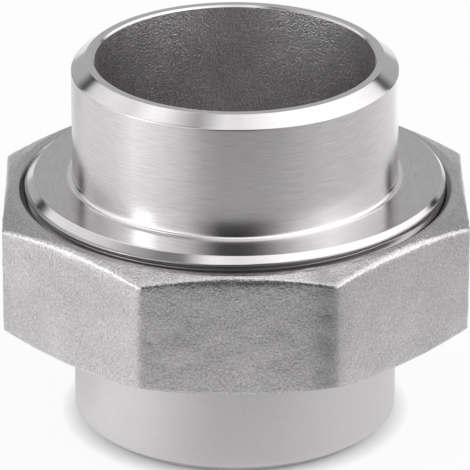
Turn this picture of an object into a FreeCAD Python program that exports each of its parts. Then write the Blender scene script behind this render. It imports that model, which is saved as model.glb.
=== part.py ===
import FreeCAD, Part
import os
import Sketcher

# Butt-weld pipe union for two inch pipe, in three turned and cast pieces. From the top down: a
# threaded body with a bevelled weld stub, an eight-sided union nut, and a weld nipple whose flange
# the nut's lip pulls up against the body's conical seat. All three turn about +Z. The origin is
# the middle of the nipple's lower end, so the union stands on that end.

DRIVING = {
    # the pipe that is welded to each end
    "pipe_outside": 60.3,
    "pipe_wall": 4.35,
    "weld_land": 1.75,
    "weld_bevel_angle": 37.5,
    "bore_deburr": 0.35,
    # lengths along the axis
    "lower_stub": 22.45,
    "nut_height": 23.3,
    "collar_rise": 2.19,
    "upper_stub": 23.11,
    # threaded collar of the body, drawn at the crest of the thread
    "collar_step": 8.85,
    "collar_chamfer": 1.24,
    "collar_lead_in": 1.2,
    "stub_root_fillet": 1.2,
    # union nut
    "nut_wall": 3.7,
    "thread_play": 0.05,
    "mouth_countersink": 1.1,
    "lip_thickness": 5.0,
    "lip_play": 0.6,
    "lip_relief": 1.3,
    "relief_groove_depth": 0.5,
    "relief_groove_width": 3.0,
    "corner_round": 1.8,
    "cast_edge_round": 0.8,
    "corner_cut_angle": 19.5,
    "corner_cut_inset": 0.8,
    "cutter_overrun": 2.0,
    # weld nipple
    "flange_thickness": 5.3,
    "flange_play": 1.4,
    "flange_edge": 0.4,
    # conical seat between nipple and body
    "seat_half_angle": 45.0,
    "seat_gap": 0.08,
    "end_gap": 0.8,
    "nose_land": 1.8,
    "nose_height": 5.6,
}

# Radii and heights that the pieces share, as formulas on the sheet.
BORE = "(Sizes.pipe_outside / 2 - Sizes.pipe_wall)"
STUB = "(Sizes.pipe_outside / 2)"
LAND = f"({BORE} + Sizes.weld_land)"
DEBURRED = f"({BORE} + Sizes.bore_deburr)"
BEVEL_HEIGHT = f"(({STUB} - {LAND}) * tan(Sizes.weld_bevel_angle * 1deg))"
CREST = f"({STUB} + Sizes.collar_step)"
NUT_THREAD = f"({CREST} + Sizes.thread_play)"
HALF_FLATS = f"({NUT_THREAD} + Sizes.nut_wall)"
FLANGE = f"({CREST} - Sizes.flange_play)"
LIP_BORE = f"({STUB} + Sizes.lip_play)"

NUT_FOOT = "Sizes.lower_stub"
LIP_TOP = f"({NUT_FOOT} + Sizes.lip_thickness)"
NUT_TOP = f"({NUT_FOOT} + Sizes.nut_height)"
FLANGE_TOP = f"({LIP_TOP} + Sizes.flange_thickness)"
BODY_END = f"({FLANGE_TOP} + Sizes.end_gap)"
COLLAR_TOP = f"({NUT_TOP} + Sizes.collar_rise)"
UPPER_END = f"({COLLAR_TOP} + Sizes.upper_stub)"

SEAT_SLOPE = "tan(Sizes.seat_half_angle * 1deg)"
NOSE_TIP = f"({BORE} + Sizes.nose_land)"
NOSE_BASE = f"({NOSE_TIP} + Sizes.nose_height * {SEAT_SLOPE})"
SEAT_OFFSET = "(Sizes.seat_gap / cos(Sizes.seat_half_angle * 1deg))"

NUT_SIDES = 8
FULL_TURN = 360.0
SIDE_ANGLE = FULL_TURN / NUT_SIDES
SHARP_CORNER = f"({HALF_FLATS} / cos({SIDE_ANGLE / 2} * 1deg))"
ON_AXIS = "on the axis"
AT_END = "at the lower end"


def fill_sheet(doc):
    """Writes the driving dimensions, one per row, each with its alias."""
    sheet = doc.addObject("Spreadsheet::Sheet", "Sizes")
    for row, (name, value) in enumerate(DRIVING.items(), start=1):
        sheet.set(f"A{row}", name)
        sheet.set(f"B{row}", str(value))
        sheet.setAlias(f"B{row}", name)
    doc.recompute()
    return sheet


def value_of(sheet, formula):
    """The number that a formula on the sheet gives now, for a sketch's first guess."""
    return float(FreeCAD.Units.Quantity(sheet.evalExpression(formula)).Value)


def origin_plane(body, role):
    """One of the body's own origin planes, found by its role."""
    return next(f for f in body.Origin.OriginFeatures if f.Role == role)


def new_sketch(body, name, role):
    """An empty sketch lying on one of the body's origin planes."""
    sketch = body.newObject("Sketcher::SketchObject", name)
    sketch.AttachmentSupport = (origin_plane(body, role), [""])
    sketch.MapMode = "FlatFace"
    return sketch


def draw_section(sketch, sheet, corners):
    """Draws a closed outline of straight lines through corners, each (radius, height) as formulas.

    ON_AXIS as a radius is the turning axis, and AT_END as a height is the union's lower end.
    """
    places = [
        FreeCAD.Vector(
            0.0 if radius == ON_AXIS else value_of(sheet, radius),
            0.0 if height == AT_END else value_of(sheet, height),
            0,
        )
        for radius, height in corners
    ]
    count = len(places)
    for i in range(count):
        sketch.addGeometry(Part.LineSegment(places[i], places[(i + 1) % count]))
    for i in range(count):
        sketch.addConstraint(Sketcher.Constraint("Coincident", i, 2, (i + 1) % count, 1))
    for i, (radius, height) in enumerate(corners):
        if radius == ON_AXIS:
            sketch.addConstraint(Sketcher.Constraint("PointOnObject", i, 1, -2))
        else:
            across = sketch.addConstraint(Sketcher.Constraint("DistanceX", -1, 1, i, 1, places[i].x))
            sketch.setExpression(f"Constraints[{across}]", radius)
        if height == AT_END:
            sketch.addConstraint(Sketcher.Constraint("PointOnObject", i, 1, -1))
        else:
            up = sketch.addConstraint(Sketcher.Constraint("DistanceY", -1, 1, i, 1, places[i].y))
            sketch.setExpression(f"Constraints[{up}]", height)


def turn(body, kind, name, sketch):
    """A full revolution or groove of a section about the union's axis."""
    feature = body.newObject(kind, name)
    feature.Profile = sketch
    feature.ReferenceAxis = (sketch, ["V_Axis"])
    feature.Angle = FULL_TURN
    return feature


def round_edges(body, name, base, wanted, radius):
    """Fillets the edges of a feature that a test picks out, with a radius from the sheet."""
    body.Document.recompute()
    names = [f"Edge{i}" for i, edge in enumerate(base.Shape.Edges, start=1) if wanted(edge)]
    fillet = body.newObject("PartDesign::Fillet", name)
    fillet.Base = (base, names)
    fillet.setExpression("Radius", radius)
    return fillet


def is_circle_at(edge, radius, height, slack=0.01):
    """True for a round edge with this radius at this height."""
    curve = edge.Curve
    if not isinstance(curve, Part.Circle):
        return False
    return abs(curve.Radius - radius) < slack and abs(curve.Center.z - height) < slack


def is_upright(edge):
    """True for an edge that runs along the axis, False for one across it."""
    return edge.BoundBox.ZLength > edge.BoundBox.DiagonalLength / 2


def build_threaded_body(doc, sheet):
    """Upper piece: weld stub, threaded collar, and the conical seat in its lower end."""
    body = doc.addObject("PartDesign::Body", "threaded_body")
    body.Label = "threaded_body"
    seat_edge = f"({NOSE_BASE} - Sizes.end_gap * {SEAT_SLOPE} + {SEAT_OFFSET})"
    seat_top = f"({FLANGE_TOP} + ({NOSE_BASE} + {SEAT_OFFSET} - {BORE}) / {SEAT_SLOPE})"
    section = new_sketch(body, "body_section", "XZ_Plane")
    draw_section(section, sheet, [
        (seat_edge, BODY_END),
        (f"({CREST} - Sizes.collar_lead_in)", BODY_END),
        (CREST, f"({BODY_END} + Sizes.collar_lead_in)"),
        (CREST, f"({COLLAR_TOP} - Sizes.collar_chamfer)"),
        (f"({CREST} - Sizes.collar_chamfer)", COLLAR_TOP),
        (STUB, COLLAR_TOP),
        (STUB, f"({UPPER_END} - {BEVEL_HEIGHT})"),
        (LAND, UPPER_END),
        (DEBURRED, UPPER_END),
        (BORE, f"({UPPER_END} - Sizes.bore_deburr)"),
        (BORE, seat_top),
    ])
    turned = turn(body, "PartDesign::Revolution", "body_turned", section)
    stub = value_of(sheet, STUB)
    collar_top = value_of(sheet, COLLAR_TOP)
    body.Tip = round_edges(
        body, "stub_root", turned,
        lambda edge: is_circle_at(edge, stub, collar_top),
        "Sizes.stub_root_fillet",
    )
    return body


def build_weld_nipple(doc, sheet):
    """Lower piece: weld stub, the flange that the nut's lip carries, and the conical nose."""
    body = doc.addObject("PartDesign::Body", "weld_nipple")
    body.Label = "weld_nipple"
    nose_top = f"({FLANGE_TOP} + Sizes.nose_height)"
    section = new_sketch(body, "nipple_section", "XZ_Plane")
    draw_section(section, sheet, [
        (BORE, "Sizes.bore_deburr"),
        (DEBURRED, AT_END),
        (LAND, AT_END),
        (STUB, BEVEL_HEIGHT),
        (STUB, LIP_TOP),
        (f"({FLANGE} - Sizes.flange_edge)", LIP_TOP),
        (FLANGE, f"({LIP_TOP} + Sizes.flange_edge)"),
        (FLANGE, FLANGE_TOP),
        (NOSE_BASE, FLANGE_TOP),
        (NOSE_TIP, nose_top),
        (BORE, nose_top),
    ])
    body.Tip = turn(body, "PartDesign::Revolution", "nipple_turned", section)
    return body


def draw_octagon(sketch, sheet):
    """An eight-sided outline about the axis, one flat facing -Y, sized across its flats."""
    reach = value_of(sheet, SHARP_CORNER)
    up = FreeCAD.Vector(0, 0, 1)
    corners = []
    for i in range(NUT_SIDES):
        heading = FreeCAD.Rotation(up, -90 + (i - 0.5) * SIDE_ANGLE)
        corners.append(heading.multVec(FreeCAD.Vector(reach, 0, 0)))
    for i in range(NUT_SIDES):
        sketch.addGeometry(Part.LineSegment(corners[i], corners[(i + 1) % NUT_SIDES]))
    round_it = sketch.addGeometry(Part.Circle(FreeCAD.Vector(0, 0, 0), up, reach), True)
    sketch.addConstraint(Sketcher.Constraint("Coincident", round_it, 3, -1, 1))
    for i in range(NUT_SIDES):
        sketch.addConstraint(Sketcher.Constraint("Coincident", i, 2, (i + 1) % NUT_SIDES, 1))
        sketch.addConstraint(Sketcher.Constraint("PointOnObject", i, 1, round_it))
    for i in range(1, NUT_SIDES):
        sketch.addConstraint(Sketcher.Constraint("Equal", 0, i))
    sketch.addConstraint(Sketcher.Constraint("Horizontal", 0))
    radius = sketch.addConstraint(Sketcher.Constraint("Radius", round_it, reach))
    sketch.setExpression(f"Constraints[{radius}]", SHARP_CORNER)


def cut_corners(body, sheet, name, end, inward):
    """A shallow cone that takes the points of the corners off one end of the nut.

    The cone starts just inside the flats on the end plane and falls towards the nut's middle;
    inward is "-" at the upper end and "+" at the lower one.
    """
    start = f"({HALF_FLATS} - Sizes.corner_cut_inset)"
    reach = f"({SHARP_CORNER} + Sizes.cutter_overrun)"
    depth = f"(({reach} - {start}) * tan(Sizes.corner_cut_angle * 1deg))"
    outward = "-" if inward == "+" else "+"
    section = new_sketch(body, f"{name}_section", "XZ_Plane")
    draw_section(section, sheet, [
        (start, end),
        (reach, f"({end} {inward} {depth})"),
        (reach, f"({end} {outward} Sizes.cutter_overrun)"),
        (start, f"({end} {outward} Sizes.cutter_overrun)"),
    ])
    return turn(body, "PartDesign::Groove", name, section)


def build_union_nut(doc, sheet):
    """Cast octagon nut: female thread open at the top, and a lip round the nipple below."""
    body = doc.addObject("PartDesign::Body", "union_nut")
    body.Label = "union_nut"

    outline = new_sketch(body, "nut_outline", "XY_Plane")
    outline.setExpression(".AttachmentOffset.Base.z", NUT_FOOT)
    draw_octagon(outline, sheet)
    block = body.newObject("PartDesign::Pad", "nut_block")
    block.Profile = outline
    block.setExpression("Length", "Sizes.nut_height")

    corners = round_edges(body, "corners_rounded", block, is_upright, "Sizes.corner_round")
    round_edges(
        body, "cast_edges_rounded", corners,
        lambda edge: not is_upright(edge),
        "Sizes.cast_edge_round",
    )
    cut_corners(body, sheet, "upper_corner_cut", NUT_TOP, "-")
    cut_corners(body, sheet, "lower_corner_cut", NUT_FOOT, "+")

    bore = new_sketch(body, "nut_bore_section", "XZ_Plane")
    mouth = f"({NUT_THREAD} + Sizes.mouth_countersink)"
    groove = f"({NUT_THREAD} + Sizes.relief_groove_depth)"
    groove_top = f"({LIP_TOP} + Sizes.relief_groove_width)"
    draw_section(bore, sheet, [
        (ON_AXIS, f"({NUT_FOOT} - Sizes.cutter_overrun)"),
        (LIP_BORE, f"({NUT_FOOT} - Sizes.cutter_overrun)"),
        (LIP_BORE, f"({LIP_TOP} - Sizes.lip_relief)"),
        (f"({LIP_BORE} + Sizes.lip_relief)", LIP_TOP),
        (groove, LIP_TOP),
        (groove, groove_top),
        (NUT_THREAD, f"({groove_top} + Sizes.relief_groove_depth)"),
        (NUT_THREAD, f"({NUT_TOP} - Sizes.mouth_countersink)"),
        (mouth, NUT_TOP),
        (mouth, f"({NUT_TOP} + Sizes.cutter_overrun)"),
        (ON_AXIS, f"({NUT_TOP} + Sizes.cutter_overrun)"),
    ])
    body.Tip = turn(body, "PartDesign::Groove", "nut_bored", bore)
    return body


def check(doc, bodies):
    """Stops the build if a feature failed or a piece is not one sound solid."""
    for item in doc.Objects:
        if "Invalid" in item.State or "Error" in item.State:
            raise RuntimeError(f"{item.Name} failed: {item.State}")
    for body in bodies:
        shape = body.Shape
        if shape.isNull() or not shape.isValid() or len(shape.Solids) != 1:
            raise RuntimeError(f"{body.Label} is not one sound solid")
        print(f"{body.Label}: {shape.Volume / 1000:.2f} cm3, height {shape.BoundBox.ZLength:.2f} mm")


def main():
    doc = FreeCAD.newDocument("weld_union")
    sheet = fill_sheet(doc)
    bodies = [
        build_threaded_body(doc, sheet),
        build_union_nut(doc, sheet),
        build_weld_nipple(doc, sheet),
    ]
    doc.recompute()
    check(doc, bodies)
    os.makedirs("parts", exist_ok=True)
    for body in bodies:
        body.Shape.exportStep(f"parts/{body.Label}.step")


main()
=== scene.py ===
import math

import bpy
import numpy as np
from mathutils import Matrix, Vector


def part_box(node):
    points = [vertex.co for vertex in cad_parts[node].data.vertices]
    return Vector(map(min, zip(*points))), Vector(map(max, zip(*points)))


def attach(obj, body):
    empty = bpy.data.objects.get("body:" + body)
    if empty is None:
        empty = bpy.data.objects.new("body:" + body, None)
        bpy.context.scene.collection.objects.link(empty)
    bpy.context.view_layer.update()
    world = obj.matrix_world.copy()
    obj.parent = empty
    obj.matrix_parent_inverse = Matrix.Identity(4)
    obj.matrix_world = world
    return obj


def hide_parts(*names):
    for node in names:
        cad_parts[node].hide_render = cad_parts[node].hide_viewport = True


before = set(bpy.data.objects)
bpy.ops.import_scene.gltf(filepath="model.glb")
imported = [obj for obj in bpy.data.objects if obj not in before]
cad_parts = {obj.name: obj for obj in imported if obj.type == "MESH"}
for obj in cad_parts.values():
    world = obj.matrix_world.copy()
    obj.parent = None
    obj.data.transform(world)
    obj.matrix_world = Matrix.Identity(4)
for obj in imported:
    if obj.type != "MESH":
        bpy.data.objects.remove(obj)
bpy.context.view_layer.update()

# Weld nipple
# The lower piece, turned from stainless bar and blasted to a matt skin. Its stub is bevelled for
# welding to the pipe, and its flange and conical nose sit inside the nut, which holds it by the lip.

MM = 0.001
PIPE_RADIUS = 30.15
BORE_RADIUS = 25.8
LAND_RADIUS = 27.55
DEBURR = 0.35
BEVEL_HEIGHT = (PIPE_RADIUS - LAND_RADIUS) * math.tan(math.radians(37.5))
TURNED_COLUMNS = 320
nipple_high = np.array(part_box("weld_nipple")[1]) / MM
nut_low, nut_high = (np.array(corner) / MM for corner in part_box("union_nut"))
body_low, body_high = (np.array(corner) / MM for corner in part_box("threaded_body"))
FLANGE_RADIUS = nipple_high[0]
NOSE_HEIGHT = 5.6
FLANGE_THICKNESS = 5.3
NOSE_TIP_RADIUS = BORE_RADIUS + 1.8
FINE_SHARE = 0.6
CLOUD_SHARE = 0.16
CLOUD_SIZE = 8.0
TONE_BASE = 0.2
TONE_RANGE = (0.43, 0.73)


def round_section(corners, arc_steps=4, hold=0.3):
    """A closed section of points (radius, height), with each corner of a polygon made an arc.

    Each corner is (radius, height, rounding). The arc leaves a side at rounding / tan(half the angle
    between the sides) from the corner, and one more point a little further on keeps that side flat.
    """
    rows = []
    count = len(corners)
    for i in range(count):
        here = np.array(corners[i][:2])
        back = np.array(corners[i - 1][:2]) - here
        ahead = np.array(corners[(i + 1) % count][:2]) - here
        near = hold * min(1.0, np.linalg.norm(back), np.linalg.norm(ahead))
        back = back / np.linalg.norm(back)
        ahead = ahead / np.linalg.norm(ahead)
        half = math.acos(np.clip(back @ ahead, -1, 1)) / 2
        rounding = corners[i][2]
        touch = rounding / math.tan(half)
        centre = here + (back + ahead) / np.linalg.norm(back + ahead) * rounding / math.sin(half)
        first, last = here + back * touch - centre, here + ahead * touch - centre
        start = math.atan2(first[1], first[0])
        turn = (math.atan2(last[1], last[0]) - start + math.pi) % (2 * math.pi) - math.pi
        angle = start + turn * np.linspace(0, 1, arc_steps + 1)
        arc = centre + rounding * np.stack([np.cos(angle), np.sin(angle)], axis=1)
        rows += [here + back * (touch + near), *arc, here + ahead * (touch + near)]
    return np.array(rows)


def closed_skin(name, x, y, z, finish=0):
    """A mesh on a grid of points in millimetres that closes on itself both ways.

    Rows run round the section and columns round the axis. Each face joins (row, column),
    (row, column + 1), (row + 1, column + 1) and (row + 1, column), which points outwards when the
    section runs anticlockwise. finish is the material number of each row of faces.
    """
    rows, columns = x.shape
    row, column = np.meshgrid(np.arange(rows), np.arange(columns), indexing="ij")
    up, on = (row + 1) % rows, (column + 1) % columns
    corners = [row * columns + column, row * columns + on, up * columns + on, up * columns + column]
    mesh = bpy.data.meshes.new(name)
    points = np.stack([x, y, z], axis=-1).reshape(-1, 3) * MM
    mesh.from_pydata(points.tolist(), [], np.stack(corners, axis=-1).reshape(-1, 4).tolist())
    mesh.polygons.foreach_set("material_index", np.repeat(finish + np.zeros(rows, int), columns))
    mesh.shade_smooth()
    piece = bpy.data.objects.new(name, mesh)
    bpy.context.scene.collection.objects.link(piece)
    return piece


def revolve(section, columns):
    """Points (x, y, z) of a section of (radius, height) carried once round the axis."""
    angle = np.linspace(0, 2 * math.pi, columns, endpoint=False)
    radius, height = section[:, :1], section[:, 1:]
    return radius * np.cos(angle), radius * np.sin(angle), height + 0 * angle


def add_node(tree, kind, inputs=(), **settings):
    """A shader node of a kind, with its settings and its inputs, each a plain value or a socket."""
    node = tree.nodes.new(kind)
    for name, value in settings.items():
        setattr(node, name, value)
    for name, value in dict(inputs).items():
        if isinstance(value, bpy.types.NodeSocket):
            tree.links.new(value, node.inputs[name])
        else:
            node.inputs[name].default_value = value
    return node


def grey(level):
    """The colour of a neutral steel of this level, a touch towards red."""
    return (level * 1.02, level * 0.992, level * 1.006, 1)


def noise(tree, place, size, detail=2, roughness=0.5):
    """Noise from 0 to 1 with features of this size in millimetres."""
    settings = {"Vector": place, "Scale": 1 / (size * MM), "Detail": detail, "Roughness": roughness}
    return add_node(tree, "ShaderNodeTexNoise", settings).outputs["Fac"]


def remap(tree, value, low, high, to_low, to_high):
    """A value taken from the range low..high to the range to_low..to_high, held at its ends."""
    values = {"Value": value, "From Min": low, "From Max": high, "To Min": to_low, "To Max": to_high}
    return add_node(tree, "ShaderNodeMapRange", values).outputs["Result"]


def grey_between(tree, share, low, high):
    """A colour between two grey levels."""
    mix = add_node(tree, "ShaderNodeMix", {"Factor": share}, data_type="RGBA")
    mix.inputs[6].default_value = grey(low)
    mix.inputs[7].default_value = grey(high)
    return mix.outputs[2]


def blasted_steel(name, levels, roughness, grain, depth, waves, wave_depth):
    """Stainless steel with a blasted skin: dimples of a grain in millimetres on wider, softer waves.

    A mesh attribute, read below where a piece has it, makes the steel lighter by that share, which paints a
    highlight, or darker where it is below 0.
    """
    material = bpy.data.materials.new(name)
    material.use_nodes = True
    tree = material.node_tree
    steel = tree.nodes["Principled BSDF"]
    steel.inputs["Metallic"].default_value = 1.0
    steel.inputs["Roughness"].default_value = roughness
    place = add_node(tree, "ShaderNodeTexCoord").outputs["Object"]
    fine = noise(tree, place, grain, detail=2, roughness=0.6)
    coarse = noise(tree, place, waves, detail=2)
    cloudy = noise(tree, place, CLOUD_SIZE, detail=2)
    tone = add_node(
        tree, "ShaderNodeMath", {0: fine, 1: FINE_SHARE, 2: TONE_BASE}, operation="MULTIPLY_ADD"
    )
    tone = add_node(
        tree, "ShaderNodeMath", {0: cloudy, 1: CLOUD_SHARE, 2: tone.outputs[0]}, operation="MULTIPLY_ADD"
    )
    shade = remap(tree, tone.outputs[0], *TONE_RANGE, 0.0, 1.0)
    # Painted light: the mesh attribute scales the skin's colour up into a painted highlight, or down below
    # 0.
    painted_highlight_and_dark_band = add_node(tree, "ShaderNodeAttribute", attribute_name="painted_highlight_and_dark_band").outputs["Fac"]
    gain = add_node(tree, "ShaderNodeMath", {0: painted_highlight_and_dark_band, 1: 1.0}, operation="ADD")
    skin = grey_between(tree, shade, *levels)
    skin_with_painted_light = add_node(tree, "ShaderNodeVectorMath", {0: skin, "Scale": gain.outputs[0]}, operation="SCALE")
    tree.links.new(skin_with_painted_light.outputs[0], steel.inputs["Base Color"])
    dimples = add_node(tree, "ShaderNodeBump", {"Distance": depth * MM, "Height": fine})
    swell = add_node(
        tree, "ShaderNodeBump",
        {"Distance": wave_depth * MM, "Height": coarse, "Normal": dimples.outputs[0]},
    )
    tree.links.new(swell.outputs["Normal"], steel.inputs["Normal"])
    return material


nose_top = nipple_high[2]
flange_top = nose_top - NOSE_HEIGHT
flange_foot = flange_top - FLANGE_THICKNESS
nipple_section = round_section([
    (BORE_RADIUS, DEBURR, 0.1),
    (BORE_RADIUS + DEBURR, 0.0, 0.08),
    (LAND_RADIUS, 0.0, 0.12),
    (PIPE_RADIUS, BEVEL_HEIGHT, 0.25),
    (PIPE_RADIUS, flange_foot, 0.3),
    (FLANGE_RADIUS, flange_foot, 0.4),
    (FLANGE_RADIUS, flange_top, 0.3),
    (NOSE_TIP_RADIUS + NOSE_HEIGHT, flange_top, 0.3),
    (NOSE_TIP_RADIUS, nose_top, 0.2),
    (BORE_RADIUS, nose_top, 0.2),
])
nipple = closed_skin("nipple_skin", *revolve(nipple_section, TURNED_COLUMNS))
nipple.data.materials.append(
    blasted_steel("nipple_matt_steel", (0.58, 0.66), 0.40, 0.25, 0.012, 1.2, 0.01)
)
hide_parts("weld_nipple")
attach(nipple, "nipple")

# Union nut
# An eight-sided nut, investment cast in stainless and blasted, so its faces ripple a little and its
# edges are soft. Its mouth is threaded and a lip turns in at its foot, round the nipple's stub.

foot = nut_low[2]
crown = nut_high[2]
HALF_FLATS = 42.75
CORNER_ROUND = 1.8
CORNER_CUT_INSET = 1.0
CORNER_CUT_SLOPE = math.tan(math.radians(20.5))
LIP_BORE = PIPE_RADIUS + 0.6
LIP_RELIEF = 1.3
NUT_COLUMNS = 400
NUT_SIDES = 8
CORNER_GATHER = 0.06
WALL_STEP = 0.45
INNER_STEP = 0.18
NUT_MOUTH = 40.15
GROOVE_RADIUS = 39.6
GROOVE_WIDTH = 3.0
THREAD_PITCH = 2.0
THREAD_CREST = body_high[0]
THREAD_DEPTH = 1.23
THREAD_FLANK = math.sqrt(3)
GROOVE_HALF = THREAD_PITCH * 7 / 16
THREAD_PLAY = 0.1
THREAD_END = math.radians(-20)
THREAD_END_HEIGHT = crown - 0.03
RIM_INSET = 1.0
RIM_FALL = 0.62
FOOT_INSET = 0.35
FOOT_FALL = 0.25
MOUTH_CHAMFER = 1.05
MOUTH_ROUND = 0.6
CREST_ROUND = 0.5
CONE_BLEND = 0.5
CAST_SEED = 4
RIPPLE_DEPTH = 0.03
RIPPLE_LONGEST = 7.0
RIPPLE_SHORTEST = 2.0
# A painted highlight along the top edge of each side: the skin's colour lifted in a narrow band there.
RIM_PAINTED_HIGHLIGHT = 0.3
RIM_PAINTED_HIGHLIGHT_DROP = 0.3
RIM_PAINTED_HIGHLIGHT_WIDTH = 0.27
# A darker band in the skin's colour, a few degrees wide, on the front face just before its right-hand
# corner.
DARK_BAND = 0.3
DARK_BAND_ANGLE = math.radians(290.5)
DARK_BAND_WIDTH = math.radians(3.5)
CAST, NUT_THREAD, MOUTH = 0, 1, 2
FACE_SHARE = 0.6
LINE_STRAY = 0.9


def octagon_radius(angle):
    """The nut's outline: half flats / cos(angle from the middle of the side), rounded at its corners."""
    side = 2 * math.pi / NUT_SIDES
    off = np.abs((angle + side / 2) % side - side / 2)
    flat = HALF_FLATS / np.cos(off)
    centre = (HALF_FLATS - CORNER_ROUND) / math.cos(side / 2)
    from_corner = side / 2 - off
    inside = np.maximum(CORNER_ROUND**2 - (centre * np.sin(from_corner)) ** 2, 0)
    rounded = centre * np.cos(from_corner) + np.sqrt(inside)
    on_flat = np.tan(off) < (HALF_FLATS - CORNER_ROUND) * math.tan(side / 2) / HALF_FLATS
    return np.where(on_flat, flat, rounded)


def soft_least(a, b, width):
    """The lesser of two values, with the corner where they cross rounded over this width."""
    share = np.clip(0.5 + 0.5 * (b - a) / width, 0, 1)
    return b + (a - b) * share - width * share * (1 - share)


def thread_groove(angle, height):
    """Where a point lies in the right-hand thread: (turn number, share of a turn left to its end).

    A groove's middle rises by one pitch per turn to the height at which the thread ends, and turn 0
    is the last one: turn = (height of turn 0's middle here - height) / pitch. The turn number is
    whole in the middle of a groove.
    """
    short = 1 - ((angle - THREAD_END) % (2 * math.pi)) / (2 * math.pi)
    return (THREAD_END_HEIGHT - short * THREAD_PITCH - height) / THREAD_PITCH, short


def groove_depth(off):
    """The depth of a 60 degree groove this far from its middle, in millimetres, with rounded crests."""
    flank = THREAD_FLANK * (GROOVE_HALF - np.abs(off))
    rounded = np.clip(flank + CREST_ROUND, 0, 2 * CREST_ROUND) ** 2 / (4 * CREST_ROUND)
    return np.minimum(np.where(flank > CREST_ROUND, flank, rounded), THREAD_DEPTH)


def cast_ripple(x, y, z, depth, longest, shortest, seed):
    """The ripple of a casting: a sum of sine waves with lengths from longest to shortest."""
    random = np.random.default_rng(seed)
    total = np.zeros_like(x)
    waves = 28
    for _ in range(waves):
        heading = random.normal(size=3)
        heading *= 2 * math.pi / (np.linalg.norm(heading) * random.uniform(shortest, longest))
        start = random.uniform(0, 2 * math.pi)
        total += np.sin(heading[0] * x + heading[1] * y + heading[2] * z + start)
    return depth * total / math.sqrt(waves / 2)


def turned_steel(name, levels, roughness, line, line_depth, shine):
    """Stainless steel from the lathe: tool lines this many millimetres apart, and a stretched shine.

    The lines run round the axis, along the noise of a point that moves with height - face share * radius
    and only a little with the direction, so one pattern serves walls and faces.
    """
    material = bpy.data.materials.new(name)
    material.use_nodes = True
    tree = material.node_tree
    steel = tree.nodes["Principled BSDF"]
    steel.inputs["Metallic"].default_value = 1.0
    steel.inputs["Roughness"].default_value = roughness
    steel.inputs["Anisotropic"].default_value = shine
    steel.inputs["Anisotropic Rotation"].default_value = 0.25
    tangent = add_node(tree, "ShaderNodeTangent", direction_type="RADIAL", axis="Z")
    tree.links.new(tangent.outputs["Tangent"], steel.inputs["Tangent"])
    place = add_node(tree, "ShaderNodeTexCoord").outputs["Object"]
    axes = add_node(tree, "ShaderNodeSeparateXYZ", {"Vector": place})
    flat = add_node(tree, "ShaderNodeVectorMath", {0: place, 1: (1, 1, 0)}, operation="MULTIPLY")
    radius = add_node(tree, "ShaderNodeVectorMath", {0: flat.outputs[0]}, operation="LENGTH")
    way = add_node(tree, "ShaderNodeVectorMath", {0: flat.outputs[0]}, operation="NORMALIZE")
    along = add_node(
        tree, "ShaderNodeMath",
        {0: radius.outputs["Value"], 1: -FACE_SHARE, 2: axes.outputs["Z"]}, operation="MULTIPLY_ADD",
    )
    steps = add_node(tree, "ShaderNodeCombineXYZ", {"Z": along.outputs[0]})
    round_way = add_node(
        tree, "ShaderNodeVectorMath", {0: way.outputs[0], "Scale": LINE_STRAY * MM}, operation="SCALE"
    )
    lines = add_node(
        tree, "ShaderNodeVectorMath", {0: round_way.outputs[0], 1: steps.outputs[0]}, operation="ADD"
    )
    fine = noise(tree, lines.outputs[0], line, detail=2, roughness=0.6)
    shade = remap(tree, fine, 0.3, 0.7, 0, 1)
    tree.links.new(grey_between(tree, shade, *levels), steel.inputs["Base Color"])
    bump = add_node(tree, "ShaderNodeBump", {"Distance": line_depth * MM, "Height": fine})
    tree.links.new(bump.outputs["Normal"], steel.inputs["Normal"])
    return material


even = np.linspace(0, 2 * math.pi, NUT_COLUMNS, endpoint=False)
nut_angle = even + CORNER_GATHER * np.sin(NUT_SIDES * even)
outline = octagon_radius(nut_angle)
edge = np.array([0, 0.03, 0.08, 0.15, 0.24, 0.35, 0.48, 0.64, 0.84, 1.1, 1.4, 1.75, 2.1, 2.5])
wall_drop = np.concatenate([edge, np.arange(3.0, (crown - foot) / 2, WALL_STEP)])
wall_height = np.concatenate([foot + wall_drop, (crown - wall_drop)[::-1]])[:, None]
cut_radius = HALF_FLATS - CORNER_CUT_INSET
from_end = np.minimum(crown - wall_height, wall_height - foot)
rim_inset = RIM_INSET * np.exp((wall_height - crown) / RIM_FALL)
foot_inset = FOOT_INSET * np.exp((foot - wall_height) / FOOT_FALL)
rolled = outline - rim_inset - foot_inset
wall = soft_least(rolled, cut_radius + from_end / CORNER_CUT_SLOPE, CONE_BLEND)
foot_radius = np.linspace(LIP_BORE + 0.4, wall[0].min() - 0.1, 26)[:, None]
mouth_turn = np.radians(np.linspace(0, 45, 6))[:, None]
mouth_centre = NUT_MOUTH + (math.sqrt(2) - 1) * MOUTH_ROUND
mouth_radius = mouth_centre - MOUTH_ROUND * np.sin(mouth_turn)
mouth_height = crown - MOUTH_ROUND * (1 - np.cos(mouth_turn))
crown_radius = np.linspace(wall[-1].min() - 0.1, mouth_centre + 0.05, 5)[:, None]
lip_top = flange_foot
inner_height = np.arange(crown - 0.25, lip_top + 0.2, -INNER_STEP)[:, None]
turns, _ = thread_groove(nut_angle, inner_height)
ridge = THREAD_CREST + THREAD_PLAY - groove_depth((turns - np.round(turns)) * THREAD_PITCH)
mouth_line = NUT_MOUTH - (crown - inner_height)
inner = np.where(inner_height < lip_top + GROOVE_WIDTH, GROOVE_RADIUS, np.maximum(ridge, mouth_line))
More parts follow.
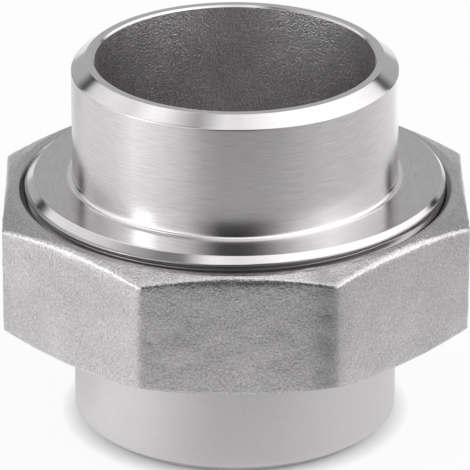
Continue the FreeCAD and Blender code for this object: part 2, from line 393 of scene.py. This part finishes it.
lip_rows = [
    (GROOVE_RADIUS, lip_top + 0.05),
    (GROOVE_RADIUS - 0.1, lip_top),
    (LIP_BORE + LIP_RELIEF + 0.3, lip_top),
    (LIP_BORE + LIP_RELIEF, lip_top - 0.02),
    (LIP_BORE + LIP_RELIEF / 2, lip_top - LIP_RELIEF / 2),
    (LIP_BORE + 0.02, lip_top - LIP_RELIEF),
    (LIP_BORE, lip_top - LIP_RELIEF - 0.3),
    (LIP_BORE, foot + 0.7),
    (LIP_BORE, foot + 0.4),
    (LIP_BORE + 0.12, foot + 0.12),
]
lip = np.array(lip_rows)
nut_radius = np.concatenate([
    foot_radius + 0 * nut_angle, wall, crown_radius + 0 * nut_angle, mouth_radius + 0 * nut_angle, inner,
    lip[:, :1] + 0 * nut_angle,
])
nut_height = np.concatenate([
    foot + 0 * foot_radius + 0 * nut_angle, wall_height + 0 * nut_angle,
    crown + 0 * crown_radius + 0 * nut_angle, mouth_height + 0 * nut_angle, inner_height + 0 * nut_angle,
    lip[:, 1:] + 0 * nut_angle,
])
nut_x, nut_y = nut_radius * np.cos(nut_angle), nut_radius * np.sin(nut_angle)
cast_rows = len(foot_radius) + len(wall) + len(crown_radius) - 1
ripple = cast_ripple(
    nut_x, nut_y, nut_height, RIPPLE_DEPTH, RIPPLE_LONGEST, RIPPLE_SHORTEST, CAST_SEED
)
ripple[cast_rows:] = 0
is_wall = np.zeros((len(nut_radius), 1))
is_wall[len(foot_radius):len(foot_radius) + len(wall)] = 1
nut_radius = nut_radius + ripple * is_wall
nut_height = nut_height + ripple * (1 - is_wall)
nut_finish = np.where(np.arange(len(nut_radius)) < cast_rows, CAST, NUT_THREAD)
mouth_rows = len(mouth_radius) + int(np.sum(inner_height > crown - MOUTH_CHAMFER))
nut_finish[cast_rows:cast_rows + mouth_rows] = MOUTH
nut = closed_skin(
    "union_nut_skin",
    nut_radius * np.cos(nut_angle), nut_radius * np.sin(nut_angle), nut_height, nut_finish,
)
painted_highlight_and_dark_band = np.zeros_like(nut_radius)
first, last = len(foot_radius), len(foot_radius) + len(wall)
cut_height = crown - np.maximum(outline - cut_radius, 0) * CORNER_CUT_SLOPE
# The painted highlight: lighter colour in a band just under the rim, a little below where the corner cut
# meets the side.
from_rim = (wall_height - cut_height + RIM_PAINTED_HIGHLIGHT_DROP) / RIM_PAINTED_HIGHLIGHT_WIDTH
painted_highlight_and_dark_band[first:last] = RIM_PAINTED_HIGHLIGHT * np.exp(-(from_rim**2))
# Darken a narrow upright band on the front face just before its right-hand corner.
dark_band = np.exp(-((nut_angle - DARK_BAND_ANGLE) / DARK_BAND_WIDTH) ** 2)
painted_highlight_and_dark_band[first:last] -= DARK_BAND * dark_band
nut.data.attributes.new("painted_highlight_and_dark_band", "FLOAT", "POINT").data.foreach_set("value", painted_highlight_and_dark_band.ravel())
nut.data.materials.append(
    blasted_steel("cast_blasted_steel", (0.43, 0.75), 0.24, 0.42, 0.09, 1.1, 0.06)
)
# The nut's inner thread is turned steel darkened almost to black: painted shade inside the nut.
nut.data.materials.append(turned_steel("nut_thread_painted_shade_steel", (0.12, 0.16), 0.35, 0.1, 0.002, 0.5))
nut.data.materials.append(turned_steel("nut_mouth_steel", (0.50, 0.60), 0.25, 0.12, 0.0008, 0.5))
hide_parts("union_nut")
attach(nut, "nut")

# Threaded body
# The upper piece, turned from stainless: a bevelled weld stub on a collar whose edge is chamfered
# down to the union thread. Its lower end is bored to a cone that seats on the nipple's nose.

COLLAR_TOP = crown + 2.19
THREAD_STEP = 0.08
COLLAR_CHAMFER = 1.24
STUB_ROOT = 0.9
LEAD_IN = 1.2
CHAMFER_OFF_CENTRE = 0.5
RUN_OUT = 25 / 360
SEAT_GAP = 0.08
END_GAP = 0.8
ARC_STEPS = 6
ROWS_PER_CORNER = ARC_STEPS + 3
TURNED, BORE, FACED, THREAD, FILLET = 0, 1, 2, 3, 4

stub_top = body_high[2]
body_end = body_low[2]
seat_foot = NOSE_TIP_RADIUS + NOSE_HEIGHT - END_GAP + SEAT_GAP * math.sqrt(2)
seat_top = flange_top + NOSE_TIP_RADIUS + NOSE_HEIGHT + SEAT_GAP * math.sqrt(2) - BORE_RADIUS
upper = round_section([
    (THREAD_CREST - COLLAR_CHAMFER, COLLAR_TOP, 0.06),
    (PIPE_RADIUS, COLLAR_TOP, STUB_ROOT),
    (PIPE_RADIUS, stub_top - BEVEL_HEIGHT, 0.3),
    (LAND_RADIUS, stub_top, 0.06),
    (BORE_RADIUS + DEBURR, stub_top, 0.05),
    (BORE_RADIUS, stub_top - DEBURR, 0.08),
    (BORE_RADIUS, seat_top, 0.3),
    (seat_foot, body_end, 0.15),
    (THREAD_CREST - LEAD_IN, body_end, 0.1),
], ARC_STEPS)[ROWS_PER_CORNER:-1]
turned_angle = np.linspace(0, 2 * math.pi, TURNED_COLUMNS, endpoint=False)
collar_edge = THREAD_CREST - COLLAR_CHAMFER + CHAMFER_OFF_CENTRE * np.cos(turned_angle)
thread_height = np.arange(body_end + 0.2, COLLAR_TOP - 0.05, THREAD_STEP)[:, None]
turns, short = thread_groove(turned_angle, thread_height)
turn = np.maximum(np.round(turns), 0)
fade = np.where(turn == 0, np.clip(short / RUN_OUT, 0, 1), 1)
thread_radius = THREAD_CREST - fade * groove_depth((turns - turn) * THREAD_PITCH)
thread_radius = np.minimum(thread_radius, THREAD_CREST - LEAD_IN + (thread_height - body_end))
thread_radius = np.minimum(thread_radius, collar_edge + COLLAR_TOP - thread_height)
edge_in = np.array([0.0, 0.04, 0.12, 0.4])[:, None]
edge_down = np.array([0.025, 0.006, 0.0, 0.0])[:, None]
body_radius = np.concatenate([thread_radius, collar_edge - edge_in, upper[:, :1] + 0 * turned_angle])
body_height = np.concatenate([thread_height, COLLAR_TOP - edge_down, upper[:, 1:]]) + 0 * turned_angle
collar_rows = len(thread_height) + len(edge_in)
corner = collar_rows + ROWS_PER_CORNER * np.arange(8) + ROWS_PER_CORNER // 2
body_finish = np.full(len(body_radius), TURNED)
in_thread = thread_height[:, 0] < COLLAR_TOP - COLLAR_CHAMFER
body_finish[:len(thread_height)] = np.where(in_thread, THREAD, FACED)
body_finish[collar_rows:collar_rows + ROWS_PER_CORNER - 1] = FACED
body_finish[corner[0] - ARC_STEPS // 2:corner[0] + 1] = FILLET
body_finish[corner[1]:corner[4]] = FACED
body_finish[corner[4]:corner[5]] = BORE
body_finish[corner[5]:] = FACED
body = closed_skin(
    "threaded_body_skin",
    body_radius * np.cos(turned_angle), body_radius * np.sin(turned_angle), body_height, body_finish,
)
body.data.materials.append(turned_steel("turned_satin_steel", (0.61, 0.75), 0.19, 0.10, 0.0002, 0.88))
body.data.materials.append(blasted_steel("blasted_bore_steel", (0.42, 0.98), 0.30, 0.34, 0.17, 1.0, 0.06))
body.data.materials.append(turned_steel("faced_bright_steel", (0.70, 0.76), 0.13, 0.12, 0.0003, 0.5))
# The body's thread is its turned steel made darker: painted shade where the thread sits in the nut's mouth.
body.data.materials.append(turned_steel("thread_painted_shade_steel", (0.40, 0.46), 0.28, 0.1, 0.001, 0.5))
# The fillet where the stub meets the collar is the body's turned steel made much lighter: a painted
# highlight.
body.data.materials.append(turned_steel("fillet_painted_highlight_steel", (0.90, 0.96), 0.24, 0.12, 0.0003, 0.0))
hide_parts("threaded_body")
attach(body, "body")

# Table, light and camera
# A pale table, and a studio of soft wall and ceiling panels. The flag is a wide ring that only
# reflections see: it stands for the dim room below the panels, which the upright walls mirror.

TABLE_SIZE = 6.0
TABLE_GREY = 0.8
TABLE_GLOW = 0.93
# Radii in mm over which the table's glow fades in round the foot; inside them the table is darker, a
# painted shadow.
TABLE_GLOW_EDGE = (27.0, 33.0)
FLAG_NEAR = 33.0
FLAG_FAR = 2800.0
FLAG_COLUMNS = 96
FLAG_CLOSE = (80.0, 92.0)
FLAG_MIDDLE = (140.0, 154.0)
FLAG_FADE = (180.0, 420.0)
CLOSE_LEVELS = [
    (-180, 0.86), (-150, 0.82), (-120, 0.80), (-100, 0.85), (-85, 0.93), (-70, 1.08), (-50, 0.97),
    (-38, 0.88), (-14, 0.69), (15, 0.70), (35, 0.77), (60, 0.86), (90, 0.91), (120, 0.96), (180, 0.97),
]
MIDDLE_LEVELS = [
    (-180, 0.90), (-120, 0.85), (-100, 0.80), (-80, 0.82), (-60, 0.80), (-30, 0.62), (-12, 0.55),
    (12, 0.54), (30, 0.58), (60, 0.64), (90, 0.68), (120, 0.76), (180, 0.95),
]
NEAR_LEVELS = [
    (-180, 0.90), (-160, 0.88), (-150, 0.84), (-140, 0.76), (-130, 0.78), (-120, 0.87), (-100, 0.90),
    (-88, 0.94), (-80, 1.03), (-70, 1.22), (-62, 1.08), (-50, 0.99), (-45, 0.93), (-38, 0.85),
    (-28, 0.68), (-20, 0.52), (-10, 0.46), (25, 0.48), (40, 0.56), (60, 0.68), (90, 0.73), (110, 0.84),
    (130, 0.94), (140, 1.08), (150, 1.22), (160, 1.22), (172, 1.12), (180, 0.95),
]
FAR_LEVELS = [
    (-180, 0.90), (-151, 0.90), (-149, 0.02), (-131, 0.02), (-129, 0.80), (-90, 1.05), (-60, 1.10),
    (-45, 0.80), (-22, 0.20), (-10, 0.08), (12, 0.08), (30, 0.20), (60, 0.36), (90, 0.46), (128, 0.80),
    (131, 0.02), (149, 0.02), (151, 0.90), (180, 0.90),
]
FLAG_LIFT = 0.3
WALL_LEVELS = [
    (-180, 0.50), (-139, 0.50), (-137, 0.02), (-130, 0.02), (-128, 0.75), (-115, 0.62), (-101, 0.88),
    (-90, 1.10), (-80, 1.45), (-74, 3.0), (-64, 3.0), (-56, 1.70), (-45, 1.25), (-34, 0.95), (-22, 0.40),
    (-12, 0.06), (0, 0.03), (12, 0.08), (22, 0.30), (34, 0.72), (45, 1.10), (56, 1.40), (68, 1.75),
    (79, 1.60), (90, 1.40), (115, 1.05), (128, 0.95), (130, 0.02), (137, 0.02), (139, 0.50), (180, 0.50),
]
PANEL_LEVELS = [
    (-180, 0.50), (-148, 0.50), (-146, 0.02), (-139, 0.02), (-137, 0.85), (-124, 1.05), (-110, 0.92),
    (-93, 0.80), (-78, 0.75), (-60, 0.85), (-10, 1.00), (12, 1.10), (45, 1.40), (90, 1.50), (120, 1.40),
    (136, 1.15), (138, 0.02), (145, 0.02), (147, 0.50), (180, 0.50),
]
PANEL_FEET = [
    (-180, 17), (-125, 18), (-110, 30), (-60, 32), (-40, 50), (-25, 56), (25, 56), (40, 46), (60, 34),
    (110, 30), (125, 18), (180, 17),
]
PANEL_BLEND = 6
TOP_FROM, TOP_TO = math.radians(51), math.radians(64)
TOP_LEVEL = 0.25
TOP_LEVEL_SIDEWAYS = 0.33
GAP_LEVEL = 0.01
GAP_LEFT = (-0.394, 0.918, 0)
GAP_LEFT_FADE = (-0.05, 0.32, 0.85, 0)
GAP_RIGHT = (0.922, -0.387, 0)
GAP_RIGHT_FADE = (-0.19, -0.01, 1, 0)
STUDIO_STRENGTH = 4.0


def azimuth_share(tree, place):
    """The direction from the front of a point, from 0 to 1 for -180 to 180 degrees, right being more."""
    axes = add_node(tree, "ShaderNodeSeparateXYZ", {"Vector": place})
    behind = add_node(tree, "ShaderNodeMath", {0: axes.outputs["Y"], 1: -1.0}, operation="MULTIPLY")
    turn = add_node(
        tree, "ShaderNodeMath", {0: axes.outputs["X"], 1: behind.outputs[0]}, operation="ARCTAN2"
    )
    return remap(tree, turn.outputs[0], -math.pi, math.pi, 0, 1), axes


def ramp(tree, share, stops, unit=1.0):
    """A grey level / unit that runs through these stops of (degrees from the front, level)."""
    node = add_node(tree, "ShaderNodeValToRGB", {"Fac": share})
    elements = node.color_ramp.elements
    while len(elements) < len(stops):
        elements.new(0.5)
    for element, (azimuth, level) in zip(elements, stops):
        element.position = 0.5 + azimuth / 360
        element.color = (level / unit, level / unit, level / unit, 1)
    return node.outputs["Color"]


bpy.ops.mesh.primitive_plane_add(size=TABLE_SIZE)
table = bpy.context.object
table.name = "table"
paint = bpy.data.materials.new("table_paint")
paint.use_nodes = True
tree = paint.node_tree
tree.nodes.remove(tree.nodes["Principled BSDF"])
matt = add_node(tree, "ShaderNodeBsdfDiffuse", {"Color": (TABLE_GREY, TABLE_GREY, TABLE_GREY, 1)})
glow = add_node(tree, "ShaderNodeEmission", {"Strength": 1.0})
rays = add_node(tree, "ShaderNodeLightPath")
seen = add_node(
    tree, "ShaderNodeMath",
    {0: rays.outputs["Is Camera Ray"], 1: rays.outputs["Is Glossy Ray"]}, operation="ADD",
)
seen = add_node(
    tree, "ShaderNodeMath", {0: seen.outputs[0], 1: rays.outputs["Is Transmission Ray"]}, operation="ADD"
)
place = add_node(tree, "ShaderNodeTexCoord").outputs["Object"]
reach = add_node(tree, "ShaderNodeVectorMath", {0: place}, operation="LENGTH")
# Near the foot the glow fades out by distance from the axis and leaves only the table's lit grey: a painted
# dark ring round the foot, over its real shadow.
beyond = remap(
    tree, reach.outputs["Value"], TABLE_GLOW_EDGE[0] * MM, TABLE_GLOW_EDGE[1] * MM, 0.0, TABLE_GLOW
)
share = add_node(tree, "ShaderNodeMath", {0: seen.outputs[0], 1: beyond}, operation="MULTIPLY")
blend = add_node(
    tree, "ShaderNodeMixShader", {0: share.outputs[0], 1: matt.outputs[0], 2: glow.outputs[0]}
)
tree.links.new(blend.outputs[0], tree.nodes["Material Output"].inputs["Surface"])
table.data.materials.append(paint)

flag_turn = np.linspace(0, 2 * math.pi, FLAG_COLUMNS, endpoint=False)
flag_reach = np.array([[FLAG_NEAR], [FLAG_FAR]])
flag_x, flag_y = flag_reach * np.sin(flag_turn), -flag_reach * np.cos(flag_turn)
flag_points = np.stack([flag_x, flag_y, FLAG_LIFT + 0 * flag_x], axis=-1)
here = np.arange(FLAG_COLUMNS)
beside = (here + 1) % FLAG_COLUMNS
flag_faces = np.stack([here, here + FLAG_COLUMNS, beside + FLAG_COLUMNS, beside], axis=-1)
flag_mesh = bpy.data.meshes.new("flag")
flag_mesh.from_pydata((flag_points.reshape(-1, 3) * MM).tolist(), [], flag_faces.tolist())
flag = bpy.data.objects.new("flag", flag_mesh)
bpy.context.scene.collection.objects.link(flag)
cloth = bpy.data.materials.new("flag_cloth")
cloth.use_nodes = True
tree = cloth.node_tree
place = add_node(tree, "ShaderNodeTexCoord").outputs["Object"]
share, _ = azimuth_share(tree, place)
near = ramp(tree, share, NEAR_LEVELS)
far = ramp(tree, share, FAR_LEVELS)
reach = add_node(tree, "ShaderNodeVectorMath", {0: place}, operation="LENGTH").outputs["Value"]
away = remap(tree, reach, FLAG_FADE[0] * MM, FLAG_FADE[1] * MM, 0.0, 1.0)
tone = add_node(tree, "ShaderNodeMix", {0: away, 6: near, 7: far}, data_type="RGBA").outputs[2]
close = ramp(tree, share, CLOSE_LEVELS)
middle = ramp(tree, share, MIDDLE_LEVELS)
past_middle = remap(tree, reach, FLAG_MIDDLE[0] * MM, FLAG_MIDDLE[1] * MM, 0.0, 1.0)
outer = add_node(
    tree, "ShaderNodeMix", {0: past_middle, 6: middle, 7: tone}, data_type="RGBA"
).outputs[2]
past_close = remap(tree, reach, FLAG_CLOSE[0] * MM, FLAG_CLOSE[1] * MM, 0.0, 1.0)
pale = add_node(tree, "ShaderNodeMix", {0: past_close, 6: close, 7: outer}, data_type="RGBA").outputs[2]
tree.nodes.remove(tree.nodes["Principled BSDF"])
dull = add_node(tree, "ShaderNodeEmission", {"Color": pale})
tree.links.new(dull.outputs[0], tree.nodes["Material Output"].inputs["Surface"])
flag_mesh.materials.append(cloth)
flag.visible_camera = False
flag.visible_diffuse = False
flag.visible_shadow = False

world = bpy.data.worlds.new("studio")
bpy.context.scene.world = world
world.use_nodes = True
tree = world.node_tree
way = add_node(tree, "ShaderNodeTexCoord").outputs["Generated"]
share, axes = azimuth_share(tree, way)
walls = ramp(tree, share, WALL_LEVELS, STUDIO_STRENGTH)
panels = ramp(tree, share, PANEL_LEVELS, STUDIO_STRENGTH)
feet = ramp(tree, share, PANEL_FEET, 90)
rise = add_node(tree, "ShaderNodeMath", {0: axes.outputs["Z"]}, operation="ARCSINE").outputs[0]
above_foot = add_node(
    tree, "ShaderNodeMath", {0: feet, 1: -math.pi / 2, 2: rise}, operation="MULTIPLY_ADD"
)
ceiling = remap(tree, above_foot.outputs[0], 0, math.radians(PANEL_BLEND), 0, 1)
top = remap(tree, rise, TOP_FROM, TOP_TO, 0, 1)
sideways = add_node(tree, "ShaderNodeMath", {0: axes.outputs["X"]}, operation="ABSOLUTE")
zenith = add_node(
    tree, "ShaderNodeMath", {0: sideways.outputs[0], 1: TOP_LEVEL_SIDEWAYS, 2: TOP_LEVEL},
    operation="MULTIPLY_ADD",
)
panelled = add_node(
    tree, "ShaderNodeMix", {0: top, 6: panels, 7: zenith.outputs[0]}, data_type="RGBA"
)
left_side = add_node(tree, "ShaderNodeVectorMath", {0: way, 1: GAP_LEFT}, operation="DOT_PRODUCT")
right_side = add_node(tree, "ShaderNodeVectorMath", {0: way, 1: GAP_RIGHT}, operation="DOT_PRODUCT")
gap = add_node(
    tree, "ShaderNodeMath",
    {
        0: remap(tree, left_side.outputs["Value"], *GAP_LEFT_FADE),
        1: remap(tree, right_side.outputs["Value"], *GAP_RIGHT_FADE),
    },
    operation="MULTIPLY",
)
gapped = add_node(
    tree, "ShaderNodeMix", {0: gap.outputs[0], 6: panelled.outputs[2], 7: grey(GAP_LEVEL)}, data_type="RGBA"
)
whole = add_node(tree, "ShaderNodeMix", {0: ceiling, 6: walls, 7: gapped.outputs[2]}, data_type="RGBA")
background = tree.nodes["Background"]
tree.links.new(whole.outputs[2], background.inputs["Color"])
background.inputs["Strength"].default_value = STUDIO_STRENGTH

CAMERA_BACK = 850.0
CAMERA_HEIGHT = 413.7
CAMERA_PITCH = math.radians(24.0)
CAMERA_AROUND = math.radians(0.65)
CAMERA_LENS = 382.4
CAMERA_SENSOR = 36.0
camera_data = bpy.data.cameras.new("camera")
camera = bpy.data.objects.new("camera", camera_data)
bpy.context.scene.collection.objects.link(camera)
camera_data.sensor_width = CAMERA_SENSOR
camera_data.lens = CAMERA_LENS
camera_data.clip_start = 0.05
camera_data.clip_end = 20.0
camera_x = -CAMERA_BACK * math.sin(CAMERA_AROUND)
camera_y = -CAMERA_BACK * math.cos(CAMERA_AROUND)
camera.location = (camera_x * MM, camera_y * MM, CAMERA_HEIGHT * MM)
camera.rotation_euler = (math.pi / 2 - CAMERA_PITCH, 0, -CAMERA_AROUND)
bpy.context.scene.camera = camera
bpy.context.scene.view_settings.view_transform = "Standard"
